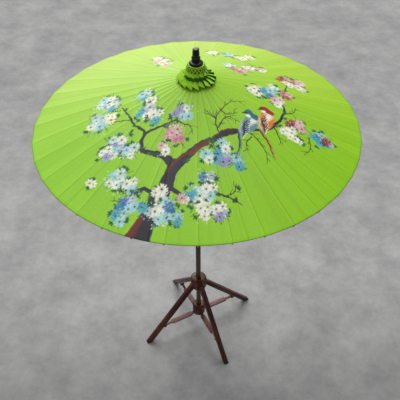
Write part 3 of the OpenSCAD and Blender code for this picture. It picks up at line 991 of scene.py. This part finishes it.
def thread_set(k, azimuth):
    """Windings at the strut joints and the strings that keep the ribs apart."""
    windings = []
    for side in (-1, 0, 1):
        at = azimuth + side * RIB_PITCH
        windings.append(wrapping(STRUT_LENGTH - 0.016, at, 6, 0.0021, 0.0036, 0.006))
    piece = thread(f"joint_windings_{k + 1}", windings, 0.00045, RED_THREAD, f"sector_{k + 1}", 5)
    fold(piece)
    for distance, material, label in (
        (0.150, GOLD_THREAD, "inner"), (0.318, GREEN_THREAD, "middle"), (0.489, GOLD_THREAD, "outer"),
    ):
        string = between_ribs(distance, -RIB_DEPTH / 2 - 0.0005, azimuth, 0.0015 * distance / 0.5)
        piece = thread(f"rib_string_{label}_{k + 1}", [string], 0.00055, material, f"sector_{k + 1}", 6)
        fold(piece)


# ---- finial, neck and ruffles ----
def finial():
    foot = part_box("finial")[0].z
    knots = [
        (0.0130, 0.0002), (0.0190, 0.0002), (0.0199, 0.0014), (0.0201, 0.0042), (0.0194, 0.0064),
        (0.0170, 0.0080), (0.0136, 0.0090), (0.0120, 0.0104), (0.0121, 0.0120), (0.0126, 0.0134),
        (0.0120, 0.0148), (0.0104, 0.0156), (0.0104, 0.0166), (0.0120, 0.0178), (0.0130, 0.0196),
        (0.0129, 0.0218), (0.0114, 0.0238), (0.0100, 0.0250), (0.0097, 0.0266), (0.0102, 0.0290),
        (0.0103, 0.0320), (0.0094, 0.0466), (0.0086, 0.0486), (0.0060, 0.0496), (0.0010, 0.0498),
    ]
    profile = smooth_profile(knots, 4) + np.array([0, foot])
    piece = turned("finial_turned", profile, BLACK_LACQUER, "parasol")
    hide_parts("finial")


LACES = 17
# Below this height the neck's cloth is painted a deeper green, as painted shade under the upper ruffle.
SHADED_BELOW = 1.2215


def neck():
    """The cloth round the head, turned in over its shoulder, and the yellow thread laced over it."""
    low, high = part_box("neck_wrap")
    around, rows = 144, 44
    angle = np.arange(around) * 2 * math.pi / around
    knots = np.array([
        (0.0327, low.z), (0.0327, low.z + 0.0040), (0.0244, high.z - 0.0006), (0.0236, high.z + 0.0006),
        (0.0203, high.z + 0.0008),
    ])
    reach = np.concatenate([[0], np.cumsum(np.hypot(*np.diff(knots, axis=0).T))])
    share = np.linspace(0, 1, rows)[:, None]
    r, z = (np.interp(share * reach[-1], reach, knots[:, axis]) for axis in (0, 1))
    folds = np.sin(24 * angle + 5 * share) * 0.5 + np.sin(41 * angle - 3 * share) * 0.3
    r = r + 0.00035 * folds * np.sin(math.pi * np.clip(share + 0.1, 0, 1))
    z = z + 0 * angle
    lid = np.clip((share - 0.88) / 0.04, 0, 1)
    outer = np.stack([r * np.cos(angle), r * np.sin(angle), z], -1)
    inside = r - 0.0006 * (1 - lid)
    inner = np.stack([inside * np.cos(angle), inside * np.sin(angle), z - 0.0006 * lid], -1)
    piece = make("neck_cloth_wrap", *two_sided(outer, inner), NECK_SHADED_CLOTH, "parasol")
    face_out(piece)
    # The turned-in top is the ruffles' bright green
    piece.data.materials.append(SHADE_PAINTED_CLOTH)
    piece.data.materials.append(RUFFLE_CLOTH)
    for face in piece.data.polygons:
        if face.center.z < SHADED_BELOW:
            face.material_index = 1
        elif face.center.z > high.z - 0.0005:
            face.material_index = 2
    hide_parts("neck_wrap")
    laces = []
    for lean in (-1, 1):
        for k in range(LACES):
            t = np.linspace(0.45, 0.985, 20)
            a = 2 * math.pi * k / LACES + lean * 1.1 * t
            r = np.interp(t, [0, 0.10, 1], [0.0331, 0.0331, 0.0247]) + 0.0003 + 0.0003 * (lean > 0)
            laces.append(np.stack([r * np.cos(a), r * np.sin(a), low.z + (high.z - low.z) * t], -1))
    piece = thread("neck_lacing", laces, 0.00085, LACING_THREAD, "parasol")


# Points across one pleat, and the share of them on its blade
PLEAT_STEPS = 20
BLADE_SHARE = 0.78


def ruffle(name, node, neck_r, neck_z, hem_r, hem_z, pleats, rise):
    """Knife pleats round the neck: blades that rise to one side, drop and tuck under the next."""
    around, rows, thick = pleats * PLEAT_STEPS, 20, 0.0006
    turn = 2 * math.pi / pleats
    index = np.arange(around)
    pleat = index // PLEAT_STEPS
    step = (index % PLEAT_STEPS) / (PLEAT_STEPS - 1)
    # Across one pleat the cloth climbs along the blade, then folds back under it
    climb = np.interp(step, [0, BLADE_SHARE, 1], [0, 1, 0.06])
    along = np.interp(step, [0, BLADE_SHARE, 1], [0, 1.16, 0.98])
    tilt = random.uniform(0.7, 1.15, pleats)[pleat]
    reach = random.uniform(0.93, 1.0, pleats)[pleat]
    shift = random.uniform(-0.10, 0.10, pleats)[pleat]
    share = np.linspace(0, 1, rows)[:, None]
    opening = 0.22 + 0.78 * share**0.8
    angle = -turn * (pleat + step * (1 - opening) + opening * (along + shift * np.sin(math.pi * step)))
    slant = 1 - 0.045 * (climb - 0.5) * share
    r = neck_r + (hem_r * reach - neck_r) * share * slant
    z = neck_z + (hem_z - neck_z) * (0.7 * share + 0.3 * share**2)
    z = z + rise * tilt * climb * opening
    top = np.stack([r * np.cos(angle), r * np.sin(angle), z + 0 * angle], -1)
    # the cloth's other face lies a thickness away, square to the first
    out = np.cross(np.roll(top, -1, 1) - np.roll(top, 1, 1), np.gradient(top, axis=0))
    out *= -np.sign(out[..., 2:].mean()) / (np.linalg.norm(out, axis=-1, keepdims=True) + 1e-12)
    bottom = top + thick * out
    piece = make(name, *two_sided(top, bottom), RUFFLE_CLOTH, "parasol", smooth=False)
    face_out(piece)
    piece.data.set_sharp_from_angle(angle=math.radians(32))
    piece.data.polygons.foreach_set("use_smooth", [True] * len(piece.data.polygons))
    # The part of each pleat that folds back under the blade is painted a deeper green, as painted shade.
    piece.data.materials.append(SHADE_PAINTED_CLOTH)
    for face in piece.data.polygons:
        step = face.index % around % PLEAT_STEPS
        face.material_index = int(step == 0 or step > BLADE_SHARE * (PLEAT_STEPS - 1))
    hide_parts(node)


def ruffles():
    ruffle("ruffle_lower_pleats", "ruffle_lower", 0.0338, 1.2062, 0.0585, 1.1945, 18, 0.0125)
    ruffle("ruffle_upper_pleats", "ruffle_upper", 0.0290, 1.2285, 0.0364, 1.2185, 15, 0.0062)


# ---- pole, head and runner ----
def recolour(nodes, material):
    """CAD solids that are shown as they are, with a material of their own."""
    for node in nodes:
        solid = frame["nodes"][node]
        solid.data.materials.clear()
        solid.data.materials.append(material)


def pole():
    """A bamboo pole with low rings at its joints."""
    low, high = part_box("pole")
    r = 0.0098
    knots = []
    nodes = [0.36, 0.60, 0.83, 1.10]
    for z in np.arange(low.z, 1.2300, 0.004):
        swell = sum(math.exp(-(((z - n) / 0.004) ** 2)) for n in nodes)
        knots.append((r - 0.00035 + 0.00035 * min(swell, 1), z))
    knots.append((r - 0.00035, 1.2300))
    knots.append((0.0060, 1.2300))
    knots.append((0.0060, high.z))
    piece = turned("pole_bamboo", knots, LACQUERED_POLE, "parasol", 48)
    piece.data.set_sharp_from_angle(angle=math.radians(50))
    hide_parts("pole")


def head_and_runner():
    for node in ("head_notch", "runner"):
        piece = refined(node, PALE_WOOD, 0.00035)
        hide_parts(node)
    recolour(("head_thread", "runner_thread"), GOLD_THREAD)


# ---- stand ----
def leg_frame(azimuth):
    """Z along the leg, so that its grain follows it."""
    lean = math.atan((LEG_FOOT_R - LEG_HINGE_R) / LEG_HINGE_Z)
    return radial_frame(azimuth, LEG_HINGE_R, LEG_HINGE_Z, -lean)


def brace_frame(azimuth):
    """Z along the brace, so that its grain follows it."""
    return radial_frame(azimuth, BRACE_HINGE_R, BRACE_HINGE_Z, BRACE_TILT)


def stand():
    for node in ("stand_upper_collar", "stand_lower_collar"):
        piece = refined(node, VARNISH, 0.0007)
        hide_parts(node)
    recolour(("stand_upper_pins", "stand_lower_pins"), PIN_STEEL)
    for k, azimuth in enumerate(LEG_AZIMUTHS):
        leg = refined(f"leg_{k + 1}", VARNISH, 0.0014, leg_frame(azimuth))
        foot_pad(leg)
        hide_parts(f"leg_{k + 1}")
        brace = refined(f"brace_{k + 1}", BRACE_SHEEN_VARNISH, 0.0007, brace_frame(azimuth))
        steel_pin(brace, azimuth)
        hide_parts(f"brace_{k + 1}")


def foot_pad(leg):
    """The end of a leg and the pad under it are dark rubber."""
    mesh = leg.data
    mesh.materials.append(FOOT_RUBBER)
    cap = min(v.co.z for v in mesh.vertices) + FOOT_CAP
    work = bmesh.new()
    work.from_mesh(mesh)
    bmesh.ops.bisect_plane(
        work, geom=[*work.verts, *work.edges, *work.faces], plane_co=(0, 0, cap), plane_no=(0, 0, 1)
    )
    work.to_mesh(mesh)
    work.free()
    for face in mesh.polygons:
        if face.center.z < cap:
            face.material_index = 1


def steel_pin(brace, azimuth):
    """The ends of a brace's outer pin, beside its tongue, are steel."""
    mesh = brace.data
    mesh.materials.append(PIN_STEEL)
    place = brace_frame(azimuth).inverted() @ brace.matrix_world
    for face in mesh.polygons:
        spot = place @ face.center
        if abs(spot.y) > 0.0047 and abs(spot.z - BRACE_LENGTH) < 0.003:
            face.material_index = 1


# ---- surroundings ----
def surroundings():
    mesh = bpy.data.meshes.new("floor")
    steps = np.linspace(-1.6, 1.6, 33)
    x, y = np.meshgrid([-8.0, *steps, 8.0], [-6.0, *steps, 12.0])
    points = np.stack([x, y, 0 * x], -1).reshape(-1, 3)
    mesh.from_pydata(points.tolist(), [], grid_faces(*x.shape).tolist())
    # The floor is painted darker toward the viewer and far behind, as painted shade, and paler round the
    # stand, as a painted pool of light that offsets the canopy's shadow
    shade = np.interp(y, (-6.0, -0.7, 0.35, 1.6, 12.0), (0.46, 0.57, 1.0, 0.94, 0.80))
    shade = shade * (1 + 0.55 * np.exp(-(x**2 + (y + 0.2) ** 2) / 0.45**2))
    layer = mesh.color_attributes.new("shade", "FLOAT_COLOR", "POINT")
    layer.data.foreach_set("color", np.stack([shade, shade, shade, 1 + 0 * shade], -1).ravel())
    floor = bpy.data.objects.new("floor", mesh)
    bpy.context.collection.objects.link(floor)
    m = Nodes("floor_grey", 0.85)
    tone = m.noise(m.local(), 4.5, 12.0, 0.78)
    mix = m.add("ShaderNodeMix", data_type="RGBA", blend_type="MULTIPLY")
    mix.inputs[0].default_value = 1.0
    m.join(m.ramp(tone, [(0.34, rgba(128, 129, 133)), (0.66, rgba(166, 167, 170))]), mix.inputs[6])
    m.join(m.add("ShaderNodeVertexColor", layer_name="shade").outputs["Color"], mix.inputs[7])
    m.colour(mix.outputs[2])
    mesh.materials.append(m.material)

    world = bpy.data.worlds.new("studio")
    world.use_nodes = True
    world.node_tree.nodes["Background"].inputs["Color"].default_value = (1, 1, 1, 1)
    world.node_tree.nodes["Background"].inputs["Strength"].default_value = 0.33
    bpy.context.scene.world = world
    bpy.context.scene.view_settings.view_transform = "Standard"
    lamp("sun_behind", "SUN", (-0.10, 0.64, 1.1), 2.4, (1.0, 0.97, 0.91)).angle = math.radians(45)
    lamp("low_back", "SUN", (-0.18, 1.0, 0.42), 1.5, (1.0, 0.98, 0.92)).angle = math.radians(40)
    lamp("high_front", "AREA", (-1.2, -2.6, 3.8), 10, (1.0, 1.0, 1.0)).size = 3.0


def lamp(name, kind, place, power, tint):
    """A light at a place, aimed at the canopy."""
    light = bpy.data.lights.new(name, kind)
    light.energy = power
    light.color = tint
    holder = bpy.data.objects.new(name, light)
    bpy.context.collection.objects.link(holder)
    holder.location = place
    aim = Vector((0, 0, 0.9 if kind == "AREA" else 0)) - Vector(place)
    holder.rotation_euler = aim.to_track_quat("-Z", "Y").to_euler()
    return light


def camera():
    pitch, yaw, roll = 0.77145, 0.00547, -0.00783
    lens = bpy.data.cameras.new("camera")
    lens.sensor_width = 36.0
    lens.lens = 36.0 * 620 / 400
    eye = bpy.data.objects.new("camera", lens)
    bpy.context.collection.objects.link(eye)
    eye.matrix_world = (
        Matrix.Translation((0.0, -1.532, 2.1965))
        @ Matrix.Rotation(-yaw, 4, "Z")
        @ Matrix.Rotation(math.pi / 2 - pitch, 4, "X")
        @ Matrix.Rotation(roll, 4, "Z")
    )
    bpy.context.scene.camera = eye


camera()
canopy()
ribs_and_struts()
finial()
neck()
ruffles()
pole()
head_and_runner()
stand()
surroundings()
